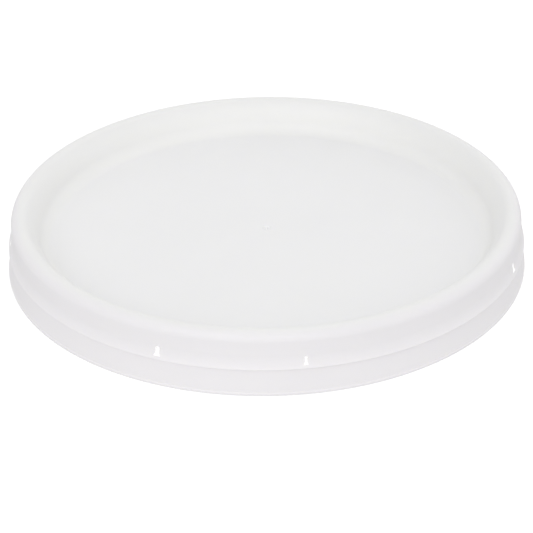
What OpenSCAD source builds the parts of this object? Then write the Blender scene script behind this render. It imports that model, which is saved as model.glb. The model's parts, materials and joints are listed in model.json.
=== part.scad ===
// Press-on lid for a plastic fermenting bucket: one moulded lid and the sealing ring in its rim.
// The moulding is held as four nodes, panel, plug, crown and skirt, which meet face to face.
// Millimetres, +Z up. The origin is the centre of the lid, level with the skirt's bottom edge.

/* [Overall] */
// Outer radius of the lid at its bottom edge
base_r = 156.7; // [120:0.1:190]
// Overall height of the lid
lid_height = 36.1; // [30:0.1:44]
// Height of the ridge line above the bottom edge
ridge_z = 15.6; // [13:0.1:19]

/* [Skirt] */
// How far the bottom edge stands out from the ridge
base_spread = 1.2; // [0.4:0.1:3]
// How far the ridge stands out from the rim's upright wall
ridge_reach = 2.6; // [1.5:0.1:4]
// Wall thickness of the skirt
skirt_wall = 2; // [1.6:0.1:2.4]
// Height of the hollow flare above the ridge
flare_h = 8; // [5:0.1:10]
// How much the upright wall widens from the rim down to the flare
upright_draft = 0.4; // [0:0.1:0.8]
// How far the band below the ridge steps in
ridge_step = 0.9; // [0.4:0.1:1.4]
// Height of the ridge's bevelled underside
ridge_bevel = 0.5; // [0.3:0.1:1]
// Height of the lip around the bottom edge
lip_h = 1.5; // [1:0.1:3]
// How far that lip stands out from the band
lip_proud = 0.4; // [0.2:0.1:0.8]
// Rounding of the bottom edge
edge_r = 0.4; // [0.2:0.1:0.7]

/* [Rim channel] */
// Width of the channel that takes the bucket's rim
channel_w = 7.9; // [6:0.1:10]
// Radius of the channel's two upper corners
channel_corner = 2.45; // [1.5:0.05:2.8]
// Thickness of the rim's crown over the channel
crown_t = 2.3; // [1.8:0.1:3]

/* [Plug and panel] */
// Thickness of the rim beside the channel, on the plug's side
plug_wall = 1.7; // [1.4:0.1:2.6]
// How far the recessed panel's face lies below the top of the rim
recess_depth = 20.2; // [16:0.1:24.5]
// Thickness of the recessed panel
panel_t = 2.2; // [1.6:0.1:3]
// Angle of the plug's inner face where it leaves the crown's full round
shoulder_angle = 42; // [30:1:50]
// Radius of the long curve down which the plug's inner face steepens
plug_curve = 26; // [18:0.5:40]
// Radius of the fillet between the plug and the panel
panel_fillet = 8.8; // [3:0.1:11]
// How far the plug's upright sealing land ends below the sealing ring
land_gap = 2.2; // [1:0.1:3]
// Height of that land
land_h = 2.4; // [1.5:0.1:3]
// How far that land stands out from the plug's wall above it
land_proud = 0.6; // [0.2:0.1:0.9]

/* [Snap bead] */
// How far the snap bead stands in from the channel's outer wall
bead_reach = 1.4; // [0.8:0.1:2.2]
// Height of the bead's innermost face
bead_face = 1.4; // [0.8:0.1:2.5]
// How far the bead's retaining face lies below the feet of the windows
bead_drop = 0.2; // [0:0.1:1]
// Height of the bead's slanted lead-in
bead_lead = 4.2; // [2:0.1:6]
// How much the bead's retaining face rises towards the skirt
bead_rise = 1; // [0:0.1:1.5]

/* [Windows] */
// Number of window pairs around the skirt
window_pairs = 4; // [2:1:6]
// How far the feet of the windows lie above the ridge
window_lift = 1.9; // [0:0.1:4]
// Angle from a pair's centre line to each of its windows
window_half_angle = 15; // [8:1:25]
// Width of the foot of the larger window
window_foot = 3.8; // [2.6:0.1:5]
// Width of the neck of the larger window
window_neck = 2.2; // [1.2:0.1:2.5]
// Width of the round head of the larger window
window_head = 2.6; // [1.4:0.1:3.2]
// Height of the larger window
window_h = 5.3; // [4:0.1:6.5]
// Width of the foot of the smaller window
small_foot = 2.3; // [1.8:0.1:4]
// Width of the neck of the smaller window
small_neck = 1.3; // [1:0.1:2.2]
// Width of the round head of the smaller window
small_head = 1.6; // [1.2:0.1:2.6]
// Height of the smaller window
small_h = 4.6; // [3.5:0.1:6]
// Height of the flared foot of a window
window_foot_h = 1.8; // [1:0.1:2.5]
// Gap in the snap bead to each side of a window
bead_gap_margin = 1.2; // [0.6:0.1:3]

/* [Sealing ring] */
// Clearance between the sealing ring and the channel's walls
seal_clearance = 0.25; // [0.1:0.05:0.5]
// Height of the sealing ring's upright sides
seal_side = 1; // [0.4:0.1:2.5]
// How far the sealing ring's underside bulges
seal_bulge = 0.6; // [0.2:0.1:1]
// Radius of the small ring that keeps the seal in the channel
keeper_r = 0.6; // [0.4:0.1:0.9]
// Gap between the sealing ring and the keeper ring
keeper_gap = 0.3; // [0.2:0.1:0.6]

/* [Gate mark] */
// Radius of the dished gate recess at the panel's centre
gate_recess_r = 3; // [2.2:0.1:5]
// Depth of the gate recess
gate_recess_depth = 0.6; // [0.3:0.1:1]
// Radius of the gate's nub at its foot
gate_nub_r = 0.9; // [0.6:0.1:1.5]
// Radius of the nub's broken-off end
gate_nub_end_r = 0.6; // [0.3:0.1:0.6]
// How far the nub's end stays below the panel's face
gate_nub_drop = 0.1; // [0:0.1:0.2]

/* [Hidden] */
$fn = 96;
// Steps in a quarter turn of a rounded corner
corner_steps = 8;
// Steps in each curve of the plug
curve_steps = 12;
// Steps in the rim's full round
crown_steps = 24;
// Steps in the rounding of the bottom edge
edge_steps = 4;
// Facets around the keeper ring's section
keeper_facets = 24;
lid_colour = [0.93, 0.93, 0.92];
seal_colour = [0.86, 0.86, 0.84];
// Overlap that joins a bead to its wall, or carries a cut past a face
bite = 0.6;

ridge_r = base_r - base_spread;
rim_outer_r = ridge_r - ridge_reach;
channel_outer_r = rim_outer_r - skirt_wall;
channel_inner_r = channel_outer_r - channel_w;
plug_r = channel_inner_r + land_proud;
plug_inner_r = channel_inner_r - plug_wall;
// The crown is a full round over the plug's inner face and the skirt's outer face
dome_r = (rim_outer_r - plug_inner_r) / 2;
dome_centre_r = plug_inner_r + dome_r;
dome_centre_z = lid_height - dome_r;
channel_top = lid_height - crown_t;

panel_z = lid_height - recess_depth;
panel_under = panel_z - panel_t;
upright_r = rim_outer_r + upright_draft;
band_top_z = ridge_z - ridge_bevel;
band_top_r = ridge_r - ridge_step;
lip_top_z = lip_h + lip_proud;
band_foot_r = base_r - lip_proud;

// Inner faces of the skirt, one wall inside the outer ones
inner_upright_r = upright_r - skirt_wall;
inner_band_top_r = band_top_r - skirt_wall;
inner_band_foot_r = band_foot_r - skirt_wall;

window_z = ridge_z + window_lift;
bead_top = window_z - bead_drop;
bead_r = channel_outer_r - bead_reach;
window_cut = ridge_r - bead_r + 2 * bite;

seal_inner_r = channel_inner_r + seal_clearance;
seal_outer_r = channel_outer_r - seal_clearance;
seal_corner = channel_corner - seal_clearance;
seal_bottom = channel_top - seal_corner - seal_side - seal_bulge;
keeper_z = seal_bottom - keeper_gap - keeper_r;
plug_land_top = seal_bottom - land_gap;

// The plug's inner face leaves the crown at the shoulder, bends down on the plug's curve and
// runs into the panel's fillet where the two curves touch
dome_centre = [dome_centre_r, dome_centre_z];
shoulder = [-cos(shoulder_angle), sin(shoulder_angle)];
curve_centre = dome_centre + (dome_r - plug_curve) * shoulder;
fillet_centre_z = panel_z + panel_fillet;
foot_angle = asin((fillet_centre_z - curve_centre[1]) / (plug_curve + panel_fillet));

// Where the moulding's four nodes meet: the panel ends at the plug's fillet, and the crown
// starts at the centre of its full round, on top of the plug and the skirt
panel_r = curve_centre[0] - (plug_curve + panel_fillet) * cos(foot_angle);
crown_from = dome_centre_z;
channel_mid_r = (channel_inner_r + channel_outer_r) / 2;

// Points on an arc about [r, z], from one angle to another, without the first few if skip says so
function arc(centre, radius, from, to, steps = corner_steps, skip = 0) = [
    for (i = [skip : steps])
        centre + radius * [cos(from + (to - from) * i / steps), sin(from + (to - from) * i / steps)]
];

// Points of a hollow flare that leaves an upright wall at radius r and height z,
// and spreads by reach over the height drop below it
function flare(r, z, reach, drop) =
    let (radius = (reach * reach + drop * drop) / (2 * reach), sweep = asin(drop / radius))
    arc([r + radius, z], radius, 180 + sweep, 180);

// Outline of the plug's inner face, from the shoulder down its long curve and the panel's fillet
function plug_inside() = concat(
    arc(curve_centre, plug_curve, 180 - shoulder_angle, 180 - foot_angle, curve_steps, skip = 1),
    arc([panel_r, fillet_centre_z], panel_fillet, -foot_angle, -90, curve_steps, skip = 1)
);

// Outline of the skin that shows: bottom edge, skirt, rim, plug's inner face and panel
function outer_skin() = concat(
    arc([base_r - edge_r, edge_r], edge_r, -90, 0, edge_steps),
    [[base_r, lip_h], [band_foot_r, lip_top_z], [band_top_r, band_top_z], [ridge_r, ridge_z]],
    flare(upright_r, ridge_z + flare_h, ridge_r - upright_r, flare_h),
    arc(dome_centre, dome_r, 0, 180 - shoulder_angle, crown_steps),
    plug_inside(),
    [[0, panel_z]]
);

// Outline of the hidden skin: panel's underside, plug, channel and inside of the skirt
function inner_skin() = concat(
    [[0, panel_under]],
    arc([panel_r, fillet_centre_z], panel_fillet + panel_t, -90, -foot_angle, curve_steps),
    [[plug_r, plug_land_top - land_h], [plug_r, plug_land_top]],
    [[channel_inner_r, plug_land_top + land_proud]],
    arc([channel_inner_r + channel_corner, channel_top - channel_corner], channel_corner, 180, 90),
    arc([channel_outer_r - channel_corner, channel_top - channel_corner], channel_corner, 90, 0),
    [[inner_upright_r, ridge_z + flare_h]],
    [[inner_band_top_r, band_top_z + skirt_wall], [inner_band_top_r, band_top_z]],
    [[inner_band_foot_r, lip_top_z]],
    arc([inner_band_foot_r + edge_r, edge_r], edge_r, 180, 270, edge_steps)
);

// Radius of the inside of the band below the ridge, at height z
function band_inside(z) = inner_band_foot_r
    + (inner_band_top_r - inner_band_foot_r) * (z - lip_top_z) / (band_top_z - lip_top_z);

// Bottle-shaped window outline with a flared foot, standing on y = 0
module window_outline(foot, neck, head, height) {
    square_w = neck / 2;
    translate([-square_w, 0]) square([neck, height - head / 2]);
    translate([0, height - head / 2]) circle(r = head / 2);
    polygon([[-foot / 2, 0], [foot / 2, 0], [square_w, window_foot_h], [-square_w, window_foot_h]]);
}

// One cutter that passes out through the skirt's wall, on the +X side
module window_cutter(foot, neck, head, height) {
    translate([bead_r - bite, 0, window_z])
        rotate([90, 0, 90])
            linear_extrude(height = window_cut) window_outline(foot, neck, head, height);
}

// Places its children at one window of every pair: side is -1 or 1
module at_windows(side) {
    for (pair = [0 : window_pairs - 1])
        rotate([0, 0, pair * 360 / window_pairs + side * window_half_angle]) children();
}

// The larger window of a pair comes before its centre line and the smaller one after it
module windows() {
    at_windows(-1) window_cutter(window_foot, window_neck, window_head, window_h);
    at_windows(1) window_cutter(small_foot, small_neck, small_head, small_h);
}

// Ring that snaps under the bucket's rim bead, open below each window
module snap_bead() {
    gap_w = window_foot + 2 * bead_gap_margin;
    foot_z = bead_top - bead_face - bead_lead;
    foot_r = band_inside(foot_z);
    top_z = bead_top + bead_rise;
    difference() {
        rotate_extrude() polygon([
            [foot_r + bite, top_z],
            [inner_band_top_r, top_z],
            [bead_r + edge_r, bead_top],
            [bead_r, bead_top - edge_r],
            [bead_r, bead_top - bead_face],
            [foot_r, foot_z],
            [foot_r + bite, foot_z]
        ]);
        for (side = [-1, 1])
            at_windows(side)
                translate([bead_r - bite, -gap_w / 2, foot_z - bite])
                    cube([foot_r - bead_r + 3 * bite, gap_w, top_z - foot_z + 2 * bite]);
    }
}

// Small round ring that keeps the sealing ring from dropping out of the channel
module keeper_ring() {
    rotate_extrude() translate([channel_outer_r, keeper_z]) circle(r = keeper_r, $fn = keeper_facets);
}

module gate_mark_cut() {
    translate([0, 0, panel_z - gate_recess_depth])
        cylinder(
            h = gate_recess_depth + bite,
            r1 = gate_recess_r - gate_recess_depth,
            r2 = gate_recess_r + bite
        );
}

module gate_nub() {
    translate([0, 0, panel_z - gate_recess_depth - bite])
        cylinder(h = gate_recess_depth + bite - gate_nub_drop, r1 = gate_nub_r, r2 = gate_nub_end_r);
}

// The part of the moulding's section between two radii and two heights, turned about the axis
module turned_zone(r_from, r_to, z_from, z_to) {
    rotate_extrude() intersection() {
        polygon(concat(outer_skin(), inner_skin()));
        translate([r_from, z_from]) square([r_to - r_from, z_to - z_from]);
    }
}

module panel() {
    color(lid_colour) {
        difference() {
            turned_zone(0, panel_r, 0, lid_height);
            gate_mark_cut();
        }
        gate_nub();
    }
}

module plug() {
    color(lid_colour) turned_zone(panel_r, channel_mid_r, 0, crown_from);
}

module crown() {
    color(lid_colour) turned_zone(0, base_r, crown_from, lid_height + bite);
}

module skirt() {
    color(lid_colour) {
        difference() {
            union() {
                turned_zone(channel_mid_r, base_r + bite, -bite, crown_from);
                keeper_ring();
            }
            windows();
        }
        snap_bead();
    }
}

module sealing_ring() {
    mid_r = (seal_inner_r + seal_outer_r) / 2;
    half_w = (seal_outer_r - seal_inner_r) / 2;
    bulge_r = (half_w * half_w + seal_bulge * seal_bulge) / (2 * seal_bulge);
    sweep = asin(half_w / bulge_r);
    color(seal_colour)
        rotate_extrude() polygon(concat(
            arc([seal_inner_r + seal_corner, channel_top - seal_corner], seal_corner, 180, 90),
            arc([seal_outer_r - seal_corner, channel_top - seal_corner], seal_corner, 90, 0),
            arc([mid_r, seal_bottom + bulge_r], bulge_r, 270 + sweep, 270 - sweep)
        ));
}

panel();
plug();
crown();
skirt();
sealing_ring();
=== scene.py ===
"""Looks of the press-on lid of a plastic fermenting bucket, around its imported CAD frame.

Lengths are in metres.
"""
import json
import math

import bmesh
import bpy
from mathutils import Matrix, Vector


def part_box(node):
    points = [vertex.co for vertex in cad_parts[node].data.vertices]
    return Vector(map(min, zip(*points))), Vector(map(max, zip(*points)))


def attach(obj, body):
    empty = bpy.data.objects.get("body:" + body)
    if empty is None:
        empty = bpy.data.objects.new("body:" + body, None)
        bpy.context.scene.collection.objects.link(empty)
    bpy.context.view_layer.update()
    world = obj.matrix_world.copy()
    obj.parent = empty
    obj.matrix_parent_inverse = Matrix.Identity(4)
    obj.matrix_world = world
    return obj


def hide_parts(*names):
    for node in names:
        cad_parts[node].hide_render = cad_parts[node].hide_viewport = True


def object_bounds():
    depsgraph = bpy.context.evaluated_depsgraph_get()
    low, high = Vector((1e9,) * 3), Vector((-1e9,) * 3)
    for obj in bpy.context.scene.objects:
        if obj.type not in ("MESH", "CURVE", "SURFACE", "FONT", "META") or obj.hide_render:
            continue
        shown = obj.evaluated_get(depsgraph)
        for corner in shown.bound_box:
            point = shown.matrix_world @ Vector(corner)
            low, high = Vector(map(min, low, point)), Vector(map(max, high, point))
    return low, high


MM = 0.001


# ---------------------------------------------------------------- frame and sizes

def plain(bounds):
    """A pair of corners as plain lists of numbers."""
    return [list(corner) for corner in bounds]


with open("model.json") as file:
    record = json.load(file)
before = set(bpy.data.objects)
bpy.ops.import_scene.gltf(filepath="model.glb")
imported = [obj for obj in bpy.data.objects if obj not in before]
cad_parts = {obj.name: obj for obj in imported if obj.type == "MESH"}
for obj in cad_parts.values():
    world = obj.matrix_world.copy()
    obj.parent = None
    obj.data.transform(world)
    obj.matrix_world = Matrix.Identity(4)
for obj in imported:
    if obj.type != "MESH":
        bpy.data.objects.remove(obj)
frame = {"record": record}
cad_bounds = plain(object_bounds())
record = frame["record"]
mounts = {m["name"]: m for m in record["mounts"]}

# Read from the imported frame
BASE_R = cad_bounds[1][0]
LID_H = cad_bounds[1][2]
CROWN_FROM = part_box("crown")[0].z
RIM_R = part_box("crown")[1].x
PANEL_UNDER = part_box("panel")[0].z
PANEL_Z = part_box("panel")[1].z
PANEL_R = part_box("panel")[1].x
PLUG_R = mounts["plug"]["dims"]["r_mm"] * MM
SEAL_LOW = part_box("sealing_ring")[0].z
SEAL_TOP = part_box("sealing_ring")[1].z

# Details of the section, as in the CAD source
RIDGE_REACH = 2.6 * MM
RIDGE_R = RIM_R + RIDGE_REACH
RIDGE_Z = 15.6 * MM
RIDGE_STEP = 0.9 * MM
RIDGE_BEVEL = 0.5 * MM
FLARE_H = 8 * MM
UPRIGHT_DRAFT = 0.4 * MM
SKIRT_WALL = 2 * MM
LIP_H = 1.5 * MM
LIP_PROUD = 0.4 * MM
EDGE_R = 0.4 * MM
CHANNEL_W = 7.9 * MM
CHANNEL_R = RIM_R - SKIRT_WALL
CHANNEL_IN_R = CHANNEL_R - CHANNEL_W
CHANNEL_CORNER = 2.45 * MM
DOME_R = LID_H - CROWN_FROM
# Angle, in degrees, at which the plug's inner face leaves the crown's full round
SHOULDER = 42
PLUG_CURVE = 26 * MM
FILLET = 8.8 * MM
PANEL_T = PANEL_Z - PANEL_UNDER
LAND_GAP = 2.2 * MM
LAND_TOP = SEAL_LOW - LAND_GAP
LAND_H = 2.4 * MM
WINDOW_LIFT = 1.9 * MM
WINDOW_Z = RIDGE_Z + WINDOW_LIFT
BEAD_REACH = 1.4 * MM
BEAD_R = CHANNEL_R - BEAD_REACH
BEAD_DROP = 0.2 * MM
BEAD_TOP = WINDOW_Z - BEAD_DROP
BEAD_FACE = 1.4 * MM
BEAD_LEAD = 4.2 * MM
BEAD_RISE = 1 * MM
KEEPER_R = 0.6 * MM
KEEPER_GAP = 0.3 * MM
KEEPER_Z = SEAL_LOW - KEEPER_GAP - KEEPER_R
SEAL_CLEAR = 0.25 * MM
SEAL_BULGE = 0.6 * MM
GATE_R = 3 * MM
GATE_DEPTH = 0.6 * MM
NUB_R = 0.9 * MM
NUB_END_R = 0.6 * MM
NUB_DROP = 0.1 * MM

# Small roundings of the moulded edges, and how close to a curve a flat face gets its support ring
SOFT = 0.2 * MM
RIDGE_SOFT = 0.25 * MM
HOLD = 0.3 * MM

# Columns of the turned meshes, and how short a stretch the bead takes to run out beside a window
TURN_STEPS = 360
RUN_OUT = math.radians(0.12)
COLUMN_CLEAR = math.radians(0.3)

PAIRS = 4
HALF_ANGLE = math.radians(15)
BEAD_GAP = 6.2 * MM
LARGE_WINDOW = {"foot": 3.8 * MM, "neck": 2.2 * MM, "head": 2.6 * MM, "height": 5.3 * MM}
SMALL_WINDOW = {"foot": 2.3 * MM, "neck": 1.3 * MM, "head": 1.6 * MM, "height": 4.6 * MM}
WINDOW_FOOT_H = 1.8 * MM

# How far the windows' cutters reach in and out past the wall, and the slack in finding what they cut
CUT_INSET = 0.7 * MM
CUT_PAST = 1 * MM
CUT_SLACK = 0.3 * MM

# Colours of the plastic, the windows' cut walls and the sealing ring, each clouded between two; the cut
# walls' colours are painted a little brighter than the plastic, as painted light
LID_COLOURS = ((0.853, 0.852, 0.857, 1), (0.861, 0.860, 0.865, 1))
EDGE_COLOURS = ((0.86, 0.86, 0.858, 1), (0.90, 0.90, 0.898, 1))
SEAL_COLOURS = ((0.74, 0.74, 0.71, 1), (0.81, 0.81, 0.785, 1))
WARM_CAST = (1, 1, 0.984, 1)
ROSY_CAST = (1, 0.982, 0.996, 1)
# Strength of the windows' cut walls' painted glow: they glow though they are no lamp
EDGE_PAINTED_GLOW = 0.28
PLASTIC_IOR = 1.5


# ---------------------------------------------------------------- sections

def arc(centre, radius, start, stop, steps=8):
    """Points on an arc in the section, angles in degrees."""
    out = []
    for i in range(steps + 1):
        a = math.radians(start + (stop - start) * i / steps)
        out.append((centre[0] + radius * math.cos(a), centre[1] + radius * math.sin(a)))
    return out


def softened(points, radius, steps=3):
    """An open line of points with each inner corner rounded."""
    out = [points[0]]
    for before, corner, after in zip(points, points[1:], points[2:]):
        b, c, a = Vector(before), Vector(corner), Vector(after)
        u, v = (b - c), (a - c)
        reach = min(radius, u.length * 0.45, v.length * 0.45)
        p, q = c + u.normalized() * reach, c + v.normalized() * reach
        for i in range(steps + 1):
            t = i / steps
            out.append(tuple(p * (1 - t) ** 2 + c * 2 * t * (1 - t) + q * t * t))
    out.append(points[-1])
    return out


def subdivided(points, step):
    """The line with long stretches cut into lengths of at most step."""
    out = [points[0]]
    for a, b in zip(points, points[1:]):
        n = max(1, math.ceil((Vector(b) - Vector(a)).length / step))
        out += [tuple(Vector(a).lerp(Vector(b), i / n)) for i in range(1, n + 1)]
    return out


def held(points):
    """A straight stretch with a point close to each end, which keeps the shading of its neighbours off it."""
    a, b = Vector(points[0]), Vector(points[-1])
    if (b - a).length < 4 * HOLD:
        return [tuple(a), tuple(b)]
    step = (b - a).normalized() * HOLD
    return [tuple(a), tuple(a + step), tuple(b - step), tuple(b)]


def flare_points():
    """The hollow flare from the upright wall out to the ridge, from the ridge up."""
    reach = RIDGE_R - (RIM_R + UPRIGHT_DRAFT)
    radius = (reach * reach + FLARE_H * FLARE_H) / (2 * reach)
    sweep = math.degrees(math.asin(FLARE_H / radius))
    centre = (RIM_R + UPRIGHT_DRAFT + radius, RIDGE_Z + FLARE_H)
    return arc(centre, radius, 180 + sweep, 180, 16)


def curve_centre():
    """Centre of the long curve down which the plug's inner face steepens from the shoulder."""
    a = math.radians(SHOULDER)
    reach = DOME_R - PLUG_CURVE
    return (RIM_R - DOME_R - reach * math.cos(a), CROWN_FROM + reach * math.sin(a))


def foot_angle():
    """Angle at which that curve runs into the panel's fillet."""
    return math.degrees(math.asin((PANEL_Z + FILLET - curve_centre()[1]) / (PLUG_CURVE + FILLET)))


def outer_section():
    """The skin that shows, from the bottom edge up over the crown and in to the gate mark."""
    dome_centre = (RIM_R - DOME_R, CROWN_FROM)
    band_top = (RIDGE_R - RIDGE_STEP, RIDGE_Z - RIDGE_BEVEL)
    bottom = arc((BASE_R - EDGE_R, EDGE_R), EDGE_R, -90, 0, 4)
    band = softened([bottom[-1], (BASE_R, LIP_H), (BASE_R - LIP_PROUD, LIP_H + LIP_PROUD), band_top], SOFT)
    flare = flare_points()
    ridge = softened([band_top, (RIDGE_R, RIDGE_Z), flare[1]], RIDGE_SOFT)
    crown = arc(dome_centre, DOME_R, 0, 180 - SHOULDER, 32)
    wall = arc(curve_centre(), PLUG_CURVE, 180 - SHOULDER, 180 - foot_angle(), 18)[1:]
    foot = arc((PANEL_R, PANEL_Z + FILLET), FILLET, -foot_angle(), -90, 20)[1:]
    panel = [(PANEL_R - HOLD, PANEL_Z)] + [(PANEL_R * k / 10, PANEL_Z) for k in range(9, 0, -1)]
    gate = softened([
        (GATE_R * 2, PANEL_Z),
        (GATE_R, PANEL_Z),
        (GATE_R - GATE_DEPTH, PANEL_Z - GATE_DEPTH),
        (NUB_R, PANEL_Z - GATE_DEPTH),
        (NUB_END_R, PANEL_Z - NUB_DROP),
        (0.0, PANEL_Z - NUB_DROP),
    ], SOFT)
    upright = held([flare[-1], crown[0]])[1:-1]
    band = [p for a, b in zip(band, band[1:]) for p in subdivided(held([a, b]), 3 * MM)[:-1]] + [band[-1]]
    return bottom[:-1] + band + ridge[1:-1] + flare[1:] + upright + crown + wall + foot + panel + gate


def skirt_inside():
    """Corners of the skirt's inner face as (z, r), from the lip up to the upright wall."""
    inner_top = RIDGE_R - RIDGE_STEP - SKIRT_WALL
    return [
        (LIP_H + LIP_PROUD, BASE_R - LIP_PROUD - SKIRT_WALL),
        (RIDGE_Z - RIDGE_BEVEL, inner_top),
        (RIDGE_Z - RIDGE_BEVEL + SKIRT_WALL, inner_top),
        (RIDGE_Z + FLARE_H, RIM_R + UPRIGHT_DRAFT - SKIRT_WALL),
    ]


def bead_wall_r(z):
    """Radius of the skirt's inner face at height z, without the snap bead."""
    corners = skirt_inside()
    for (low_z, low_r), (high_z, high_r) in zip(corners, corners[1:]):
        if z <= high_z:
            return low_r + (high_r - low_r) * (z - low_z) / (high_z - low_z)
    return corners[-1][1]


def inner_section():
    """The hidden skin, from the panel's underside out to the bottom edge, as (r, z, r without the bead)."""
    lead = arc((PANEL_R, PANEL_Z + FILLET), FILLET + PANEL_T, -90, -foot_angle(), 18)
    step = PLUG_R - CHANNEL_IN_R
    top = SEAL_TOP
    c = CHANNEL_CORNER
    channel = arc((CHANNEL_IN_R + c, top - c), c, 180, 90) + arc((CHANNEL_R - c, top - c), c, 90, 0)
    keeper = arc((CHANNEL_R, KEEPER_Z), KEEPER_R, 90, 270, 8)
    upright_z, upright_r = skirt_inside()[-1]
    foot_z = BEAD_TOP - BEAD_FACE - BEAD_LEAD
    before = [(PANEL_R * k / 6, PANEL_UNDER) for k in range(6)] + [(PANEL_R - HOLD, PANEL_UNDER)] + lead
    before += softened([
        lead[-1],
        (PLUG_R, LAND_TOP - LAND_H),
        (PLUG_R, LAND_TOP),
        (CHANNEL_IN_R, LAND_TOP + step),
        (CHANNEL_IN_R, LAND_TOP + step + 1 * MM),
    ], SOFT)[1:]
    before += channel + keeper + [(upright_r, upright_z)]
    bead = softened([
        (bead_wall_r(BEAD_TOP + BEAD_RISE), BEAD_TOP + BEAD_RISE),
        (BEAD_R + EDGE_R, BEAD_TOP),
        (BEAD_R, BEAD_TOP - EDGE_R),
        (BEAD_R, BEAD_TOP - BEAD_FACE),
        (bead_wall_r(foot_z), foot_z),
    ], SOFT)
    foot_r = BASE_R - LIP_PROUD - SKIRT_WALL
    after = [(foot_r, LIP_H + LIP_PROUD)] + arc((foot_r + EDGE_R, EDGE_R), EDGE_R, 180, 270, 4)
    return (
        [(r, z, r) for r, z in before]
        + [(r, z, bead_wall_r(z)) for r, z in bead]
        + [(r, z, r) for r, z in after]
    )


# ---------------------------------------------------------------- meshes

def window_angles():
    """(angle, window) of each window around the skirt."""
    out = []
    for pair in range(PAIRS):
        middle = pair * 2 * math.pi / PAIRS
        out.append((middle - HALF_ANGLE, LARGE_WINDOW))
        out.append((middle + HALF_ANGLE, SMALL_WINDOW))
    return out


def turn_columns():
    """(angle, share of the bead) of each column of the turned lid: the bead stops short of every window."""
    gap = BEAD_GAP / 2 / bead_wall_r(RIDGE_Z)
    run_out = gap + RUN_OUT
    columns = []
    for i in range(TURN_STEPS):
        a = i * 2 * math.pi / TURN_STEPS
        near = min(abs(math.remainder(a - w, 2 * math.pi)) for w, _ in window_angles())
        if gap - COLUMN_CLEAR < near < run_out + COLUMN_CLEAR:
            continue
        columns.append((a, 0.0 if near < gap else 1.0))
    for w, _ in window_angles():
        for side in (-1, 1):
            columns.append(((w + side * gap) % (2 * math.pi), 0.0))
            columns.append(((w + side * run_out) % (2 * math.pi), 1.0))
    return sorted(columns)


def turned(name, section, columns):
    """A closed turned solid from a section of (r, z, r without the bead).

    A point on the axis becomes one vertex.
    """
    bm = bmesh.new()
    rings = []
    for r, z, bare in section:
        if r < 1e-9:
            rings.append([bm.verts.new((0, 0, z))])
            continue
        ring = []
        for a, share in columns:
            rr = bare + (r - bare) * share
            ring.append(bm.verts.new((rr * math.cos(a), rr * math.sin(a), z)))
        rings.append(ring)
    n = len(columns)
    pairs = list(zip(rings, rings[1:]))
    if len(rings[0]) > 1 or len(rings[-1]) > 1:
        pairs.append((rings[-1], rings[0]))
    for low, high in pairs:
        for i in range(n):
            j = (i + 1) % n
            quad = [low[i % len(low)], low[j % len(low)], high[j % len(high)], high[i % len(high)]]
            corners = list(dict.fromkeys(quad))
            if len(corners) > 2:
                bm.faces.new(corners)
    bmesh.ops.remove_doubles(bm, verts=bm.verts, dist=1e-7)
    bmesh.ops.recalc_face_normals(bm, faces=bm.faces)
    mesh = bpy.data.meshes.new(name)
    bm.to_mesh(mesh)
    bm.free()
    piece = bpy.data.objects.new(name, mesh)
    bpy.context.scene.collection.objects.link(piece)
    return piece


def window_outline(window):
    """Bottle-shaped outline of a window about its middle line, standing on height 0."""
    foot, neck, head = window["foot"] / 2, window["neck"] / 2, window["head"] / 2
    centre = window["height"] - head
    leave = math.degrees(math.acos(neck / head))
    right = [(foot, 0.0), (neck, WINDOW_FOOT_H)] + arc((0, centre), head, -leave, 90, 10)
    left = [(-x, y) for x, y in reversed(right[:-1])]
    return right + left


def prism(bm, outline, place, depth):
    """A prism of an outline pushed out along the place's X axis."""
    near = [bm.verts.new(place @ Vector((0, x, y))) for x, y in outline]
    far = [bm.verts.new(place @ Vector((depth, x, y))) for x, y in outline]
    n = len(outline)
    bm.faces.new(near[::-1])
    bm.faces.new(far)
    for i in range(n):
        j = (i + 1) % n
        bm.faces.new((near[i], near[j], far[j], far[i]))


def cutters():
    """One mesh that holds the cutters of all the windows."""
    bm = bmesh.new()
    start = CHANNEL_R - CUT_INSET
    for angle, window in window_angles():
        place = Matrix.Rotation(angle, 4, "Z") @ Matrix.Translation((start, 0, WINDOW_Z))
        prism(bm, window_outline(window), place, RIDGE_R - start + CUT_PAST)
    bmesh.ops.recalc_face_normals(bm, faces=bm.faces)
    mesh = bpy.data.meshes.new("window_cutters")
    bm.to_mesh(mesh)
    bm.free()
    cutter = bpy.data.objects.new("window_cutters", mesh)
    bpy.context.scene.collection.objects.link(cutter)
    return cutter


def cut(piece, cutter):
    """Cuts the cutter out of the piece for good, and removes it."""
    modifier = piece.modifiers.new("cut", "BOOLEAN")
    modifier.operation = "DIFFERENCE"
    modifier.solver = "EXACT"
    modifier.object = cutter
    dg = bpy.context.evaluated_depsgraph_get()
    mesh = bpy.data.meshes.new_from_object(piece.evaluated_get(dg))
    piece.modifiers.clear()
    old, piece.data = piece.data, mesh
    mesh.name = old.name
    bpy.data.meshes.remove(old)
    bpy.data.objects.remove(cutter)


def cut_faces(lid):
    """The faces of the windows' own cut walls, which stand across the skirt's wall."""
    low, high = WINDOW_Z - CUT_SLACK, WINDOW_Z + LARGE_WINDOW["height"] + CUT_SLACK
    half = LARGE_WINDOW["foot"] / 2 + CUT_SLACK
    found = []
    for face in lid.data.polygons:
        c = face.center
        r = math.hypot(c.x, c.y)
        if r < CHANNEL_R - CUT_PAST or not low < c.z < high:
            continue
        a = math.atan2(c.y, c.x)
        near = min(abs(math.remainder(a - w, 2 * math.pi)) for w, _ in window_angles())
        if near * r < half and abs(face.normal.x * c.x + face.normal.y * c.y) < 0.6 * r:
            found.append(face)
    return found


def shade(piece, degrees=28):
    """Smooth shading, sharp only where faces meet at more than the angle."""
    piece.data.polygons.foreach_set("use_smooth", [True] * len(piece.data.polygons))
    piece.data.set_sharp_from_angle(angle=math.radians(degrees))
    piece.data.update()


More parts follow.
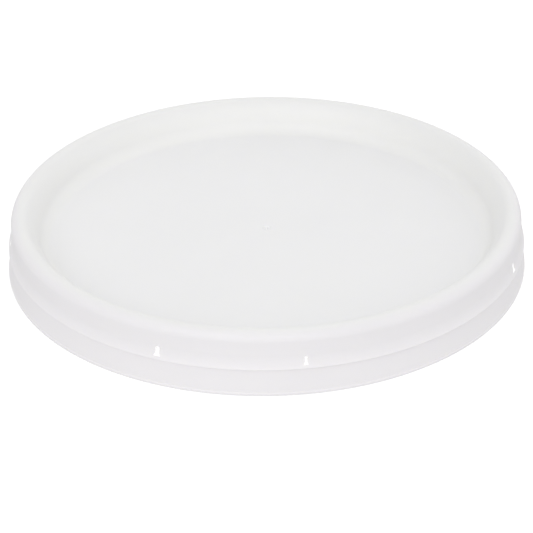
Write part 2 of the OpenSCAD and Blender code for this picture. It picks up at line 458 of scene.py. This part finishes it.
def seal_section():
    """The sealing ring's section, as in the CAD source."""
    inner, outer = CHANNEL_IN_R + SEAL_CLEAR, CHANNEL_R - SEAL_CLEAR
    c = CHANNEL_CORNER - SEAL_CLEAR
    half = (outer - inner) / 2
    bulge_r = (half * half + SEAL_BULGE * SEAL_BULGE) / (2 * SEAL_BULGE)
    sweep = math.degrees(math.asin(half / bulge_r))
    top = SEAL_TOP
    points = arc((inner + c, top - c), c, 180, 90) + arc((outer - c, top - c), c, 90, 0)
    points += arc(((inner + outer) / 2, SEAL_LOW + bulge_r), bulge_r, 270 + sweep, 270 - sweep, 14)
    return [(r, z, r) for r, z in points]


# ---------------------------------------------------------------- materials

class Nodes:
    """A short hand for building one material."""

    def __init__(self, name):
        self.material = bpy.data.materials.new(name)
        self.material.use_nodes = True
        self.tree = self.material.node_tree
        self.shader = self.tree.nodes["Principled BSDF"]

    def add(self, kind, **settings):
        node = self.tree.nodes.new(kind)
        for key, value in settings.items():
            setattr(node, key, value)
        return node

    def link(self, source, output, target, name):
        self.tree.links.new(source.outputs[output], target.inputs[name])

    def set(self, name, value):
        self.shader.inputs[name].default_value = value


def noise(m, coords, scale, detail=2.0, roughness=0.5):
    node = m.add("ShaderNodeTexNoise")
    node.inputs["Scale"].default_value = scale
    node.inputs["Detail"].default_value = detail
    node.inputs["Roughness"].default_value = roughness
    m.link(coords, "Object", node, "Vector")
    return node


def remap(m, source, output, low, high, from_min=0.0, from_max=1.0):
    node = m.add("ShaderNodeMapRange")
    node.inputs["From Min"].default_value = from_min
    node.inputs["From Max"].default_value = from_max
    node.inputs["To Min"].default_value = low
    node.inputs["To Max"].default_value = high
    m.link(source, output, node, "Value")
    return node


def clouded(m, clouds, colours, from_min, from_max):
    """Two colours mixed by a noise."""
    mix = m.add("ShaderNodeMix", data_type="RGBA")
    mix.inputs["A"].default_value, mix.inputs["B"].default_value = colours
    m.link(remap(m, clouds, "Fac", 0.0, 1.0, from_min, from_max), "Result", mix, "Factor")
    return mix


def grained(m, coords, scale, detail, strength):
    """A fine grain in the surface."""
    bump = m.add("ShaderNodeBump")
    bump.inputs["Strength"].default_value = strength
    bump.inputs["Distance"].default_value = 0.2 * MM
    m.link(noise(m, coords, scale, detail), "Fac", bump, "Height")
    m.link(bump, "Normal", m.shader, "Normal")


def thickness_cast(m, coords):
    """The faint cast of the milky plastic: neutral panel, warmer rim, slightly rosy skirt."""
    across = m.add("ShaderNodeVectorMath", operation="MULTIPLY")
    across.inputs[1].default_value = (1, 1, 0)
    m.link(coords, "Object", across, "Vector")
    radius = m.add("ShaderNodeVectorMath", operation="LENGTH")
    m.link(across, "Vector", radius, "Vector")
    ramp = m.add("ShaderNodeValToRGB")
    m.link(remap(m, radius, "Value", 0.0, 1.0, PANEL_R, BASE_R), "Result", ramp, "Fac")
    first, last = ramp.color_ramp.elements
    first.color = (1, 1, 1, 1)
    last.position, last.color = 0.82, ROSY_CAST
    for position in (0.15, 0.68):
        ramp.color_ramp.elements.new(position).color = WARM_CAST
    return ramp


def lid_plastic():
    """Natural white polyethylene: milky, faintly clouded, finely grained and unevenly glossy."""
    m = Nodes("natural_polyethylene")
    coords = m.add("ShaderNodeTexCoord")
    cast = m.add("ShaderNodeMix", data_type="RGBA", blend_type="MULTIPLY")
    cast.inputs["Factor"].default_value = 1.0
    m.link(clouded(m, noise(m, coords, 22.0, 3.0), LID_COLOURS, 0.35, 0.65), "Result", cast, "A")
    m.link(thickness_cast(m, coords), "Color", cast, "B")
    m.link(cast, "Result", m.shader, "Base Color")
    mottle = noise(m, coords, 160.0, 4.0, 0.6)
    m.link(remap(m, mottle, "Fac", 0.40, 0.52, 0.3, 0.7), "Result", m.shader, "Roughness")
    grained(m, coords, 2600.0, 2.0, 0.06)
    m.set("IOR", PLASTIC_IOR)
    m.set("Subsurface Weight", 0.35)
    m.set("Subsurface Radius", (1.0, 1.0, 0.9))
    m.set("Subsurface Scale", 2.5 * MM)
    return m.material


def window_edge_painted_glow():
    """The plastic on the windows' cut walls, painted brighter and given a painted glow so that they look
    brightly lit.
    """
    m = Nodes("window_edge_painted_glow")
    coords = m.add("ShaderNodeTexCoord")
    clouds = noise(m, coords, 400.0, 3.0)
    m.link(clouded(m, clouds, EDGE_COLOURS, 0.0, 1.0), "Result", m.shader, "Base Color")
    m.link(remap(m, clouds, "Fac", 0.42, 0.55, 0.3, 0.7), "Result", m.shader, "Roughness")
    m.set("IOR", PLASTIC_IOR)
    # Painted light: the cut walls glow by emission, though no lamp is there
    m.set("Emission Color", (1, 1, 1, 1))
    m.set("Emission Strength", EDGE_PAINTED_GLOW)
    return m.material


def seal_rubber():
    """Off-white food-grade rubber with a dusty bloom."""
    m = Nodes("sealing_rubber")
    coords = m.add("ShaderNodeTexCoord")
    clouds = noise(m, coords, 90.0, 3.0)
    m.link(clouded(m, clouds, SEAL_COLOURS, 0.3, 0.7), "Result", m.shader, "Base Color")
    m.link(remap(m, clouds, "Fac", 0.68, 0.82, 0.3, 0.7), "Result", m.shader, "Roughness")
    grained(m, coords, 1800.0, 3.0, 0.25)
    m.set("IOR", PLASTIC_IOR)
    return m.material


# ---------------------------------------------------------------- stage

# Brightness of the floor as seen, and as it lights the lid
FLOOR_SEEN = 1.02
FLOOR_CAST = 0.63
FLOOR_RADIUS = 6.0
FLOOR_DROP = 0.1 * MM

# The room's even light, and its brighter parts as (direction, sharpness, strength)
ROOM_LIGHT = 0.62
ROOM_GLOWS = [
    ((1, 0, 0), 1, 0.24),
    ((0, 1, 0), 1, 0.45),
    ((0, -0.906, 0.423), 4, 0.71),
]
KEY_AT = (-0.5, -1.3, 1.25)
KEY_SIZE = 1.1
KEY_WATTS = 4.8

# The camera: where it stands around the lid, how far off, and how it is tilted and framed
CAMERA_AZIMUTH = math.radians(7.5)
CAMERA_ELEVATION = math.radians(29.6)
CAMERA_DISTANCE = 1.0037
CAMERA_ROLL = math.radians(-0.74)
CAMERA_LENS = 110.5
CAMERA_SENSOR = 36
CAMERA_SHIFT = (-0.0001, -0.0300)


def make_floor():
    """A plain white floor, as evenly bright as a studio sweep."""
    bm = bmesh.new()
    bmesh.ops.create_circle(bm, cap_ends=True, radius=FLOOR_RADIUS, segments=96)
    mesh = bpy.data.meshes.new("floor")
    bm.to_mesh(mesh)
    bm.free()
    floor = bpy.data.objects.new("floor", mesh)
    floor.location.z = -FLOOR_DROP
    bpy.context.scene.collection.objects.link(floor)
    m = Nodes("white_floor")
    m.set("Roughness", 0.9)
    m.set("Base Color", (0.06, 0.06, 0.06, 1))
    m.set("Emission Color", (1, 1, 1, 1))
    path = m.add("ShaderNodeLightPath")
    m.link(remap(m, path, "Is Camera Ray", FLOOR_CAST, FLOOR_SEEN), "Result", m.shader, "Emission Strength")
    mesh.materials.append(m.material)


def make_world():
    """Soft light from all round with brighter parts; seen directly, it's as white as the floor."""
    world = bpy.data.worlds.new("studio")
    bpy.context.scene.world = world
    world.use_nodes = True
    tree = world.node_tree
    coords = tree.nodes.new("ShaderNodeTexCoord")

    def math_node(operation, first, second):
        node = tree.nodes.new("ShaderNodeMath")
        node.operation = operation
        for socket, value in zip(node.inputs, (first, second)):
            if isinstance(value, (int, float)):
                socket.default_value = value
            else:
                tree.links.new(value, socket)
        return node.outputs[0]

    total = None
    for direction, sharpness, strength in ROOM_GLOWS:
        facing = tree.nodes.new("ShaderNodeVectorMath")
        facing.operation = "DOT_PRODUCT"
        facing.inputs[1].default_value = direction
        tree.links.new(coords.outputs["Generated"], facing.inputs[0])
        glow = math_node("POWER", math_node("MAXIMUM", facing.outputs["Value"], 0.0), sharpness)
        glow = math_node("MULTIPLY", glow, strength)
        total = math_node("ADD", glow, ROOM_LIGHT if total is None else total)
    seen = tree.nodes.new("ShaderNodeMapRange")
    seen.inputs["To Max"].default_value = FLOOR_SEEN
    tree.links.new(total, seen.inputs["To Min"])
    path = tree.nodes.new("ShaderNodeLightPath")
    tree.links.new(path.outputs["Is Camera Ray"], seen.inputs["Value"])
    tree.links.new(seen.outputs["Result"], tree.nodes["Background"].inputs["Strength"])
    tree.nodes["Background"].inputs["Color"].default_value = (1, 1, 1, 1)


def make_key():
    """A large soft box in front and to the left."""
    data = bpy.data.lights.new("key", "AREA")
    data.shape = "SQUARE"
    data.size = KEY_SIZE
    data.energy = KEY_WATTS
    key = bpy.data.objects.new("key", data)
    bpy.context.scene.collection.objects.link(key)
    key.location = KEY_AT
    key.rotation_mode = "QUATERNION"
    key.rotation_quaternion = key.location.to_track_quat("Z", "Y")


def make_camera():
    """A long lens about a metre away, 30 degrees above the lid's plane."""
    data = bpy.data.cameras.new("camera")
    data.sensor_width = CAMERA_SENSOR
    data.lens = CAMERA_LENS
    data.shift_x, data.shift_y = CAMERA_SHIFT
    camera = bpy.data.objects.new("camera", data)
    bpy.context.scene.collection.objects.link(camera)
    back = Vector((
        math.sin(CAMERA_AZIMUTH) * math.cos(CAMERA_ELEVATION),
        -math.cos(CAMERA_AZIMUTH) * math.cos(CAMERA_ELEVATION),
        math.sin(CAMERA_ELEVATION),
    ))
    camera.location = back * CAMERA_DISTANCE
    camera.rotation_mode = "QUATERNION"
    roll = Matrix.Rotation(CAMERA_ROLL, 4, "Z").to_quaternion()
    camera.rotation_quaternion = back.to_track_quat("Z", "Y") @ roll
    bpy.context.scene.camera = camera


# ---------------------------------------------------------------- the object

def make_lid():
    """The one moulding, over the four nodes that hold it in the CAD."""
    section = [(r, z, r) for r, z in outer_section()] + inner_section()
    lid = turned("lid_moulding", section, turn_columns())
    cut(lid, cutters())
    shade(lid)
    lid.data.materials.clear()
    lid.data.materials.append(lid_plastic())
    lid.data.materials.append(window_edge_painted_glow())
    # The windows' cut walls take the material with the painted brighter colour and the painted glow
    for face in cut_faces(lid):
        face.material_index = 1
    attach(lid, "root")
    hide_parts("panel", "plug", "crown", "skirt")


def make_seal():
    """The ring in the rim's channel."""
    columns = [(i * 2 * math.pi / TURN_STEPS, 1.0) for i in range(TURN_STEPS)]
    seal = turned("sealing_ring_skin", seal_section(), columns)
    shade(seal)
    seal.data.materials.append(seal_rubber())
    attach(seal, "root")
    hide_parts("sealing_ring")


make_camera()
make_lid()
make_seal()
make_floor()
make_world()
make_key()
bpy.context.scene.view_settings.view_transform = "Standard"
